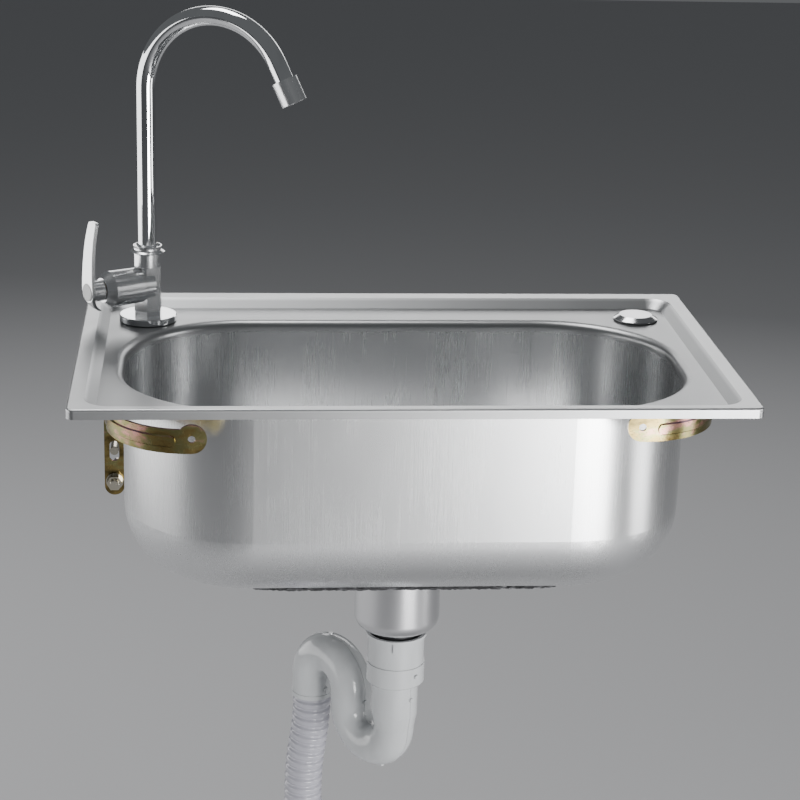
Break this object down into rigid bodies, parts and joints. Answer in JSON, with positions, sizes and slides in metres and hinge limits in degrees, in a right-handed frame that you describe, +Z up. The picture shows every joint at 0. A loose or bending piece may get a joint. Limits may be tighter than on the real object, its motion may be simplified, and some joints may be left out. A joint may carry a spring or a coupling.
{
  "type": "kitchen sink with tap and trap",
  "caption": "Wall-hung rectangular stainless steel sink with strap brackets, swan-neck lever tap, basket strainer, S-trap and ribbed drain hose.",
  "frame": {"origin": "middle of the four wall anchors, in the wall plane behind the sink", "axes": "+Z up, +Y into the wall, +X to the right of someone at the sink, who stands on the -Y side"},
  "size_m": [0.5506, 0.402, 1.1611],
  "materials": {
    "brushed_stainless": "satin brushed stainless steel",
    "undercoat_coat": "matt dark sound-deadening coat",
    "cover_chrome": "polished chrome",
    "rubber_black": "black rubber",
    "zinc_steel": "bright zinc-plated steel",
    "white_plastic": "white plastic",
    "yellow_zinc": "yellow-chromate zinc plating with iridescent tints",
    "zinc_anchor": "yellow zinc-plated steel",
    "polished_stainless": "polished stainless steel",
    "knob_black": "black plastic",
    "neck_dark": "dark plastic thread",
    "trap_plastic": "glossy cool grey polypropylene",
    "hose_plastic": "grey flexible corrugated plastic",
    "tap_chrome": "polished chrome",
    "brass_raw": "raw brass",
    "aerator_grey": "grey plastic",
    "ceramic_white": "ground white ceramic",
    "button_white": "plain white plastic"
  },
  "bodies": {
    "sink": {"sink_bowl": "brushed_stainless", "undercoat": "undercoat_coat", "hole_cover_cap": "cover_chrome", "hole_cover_seal": "rubber_black", "hole_cover_stud": "zinc_steel", "hole_cover_clamp": "white_plastic", "hole_cover_nut": "white_plastic", "bracket_left": "yellow_zinc", "bracket_right": "yellow_zinc", "wall_studs": "zinc_anchor", "wall_clips": "zinc_anchor", "wall_washers": "zinc_anchor", "wall_nuts": "zinc_anchor", "drain_flange": "polished_stainless", "drain_gasket_upper": "rubber_black", "drain_gasket_lower": "rubber_black", "drain_cup": "polished_stainless", "drain_bridge": "polished_stainless", "drain_screw": "polished_stainless", "outlet_neck": "neck_dark", "coupling_nut": "trap_plastic", "coupling_washer": "rubber_black", "trap_body": "trap_plastic", "hose_adapter": "trap_plastic", "drain_hose": "hose_plastic", "hose_spigot": "trap_plastic", "floor_seal": "rubber_black", "tap_body": "tap_chrome", "tap_flange": "tap_chrome", "tap_flange_seal": "rubber_black", "tap_lock_washer": "zinc_steel", "tap_lock_nut": "brass_raw", "spout_bush": "white_plastic", "spout_nut": "tap_chrome", "cartridge_seat": "rubber_black", "fixed_disc": "ceramic_white", "cartridge_body": "brass_raw", "valve_bonnet": "tap_chrome"},
    "spout": {"spout_tube": "tap_chrome", "spout_sleeve": "brass_raw", "spout_o_rings": "rubber_black", "spout_end_ring": "brass_raw", "nozzle_shell": "tap_chrome", "aerator_washer": "rubber_black", "aerator_insert": "white_plastic", "aerator_screen": "aerator_grey"},
    "lever": {"lever_handle": "tap_chrome", "handle_screw": "zinc_steel", "index_button": "button_white", "valve_spindle": "brass_raw", "spindle_o_ring": "rubber_black", "moving_disc": "ceramic_white"},
    "basket": {"strainer_basket": "polished_stainless", "basket_knob": "knob_black", "basket_seal": "rubber_black"}
  },
  "joints": [
    {"name": "lever_turn", "type": "hinge", "parent": "sink", "child": "lever", "pos_m": [-0.219, -0.067, 0.1955], "axis": [-0.848, -0.5299, 0], "range_deg": [-90, 0]},
    {"name": "spout_swivel", "type": "hinge", "parent": "sink", "child": "spout", "pos_m": [-0.219, -0.067, 0.2277], "axis": [0, 0, 1], "range_deg": [-162, 38]},
    {"name": "basket_lift", "type": "slide", "parent": "sink", "child": "basket", "axis": [0, 0, 1], "range_m": [0, 0.07]}
  ]
}
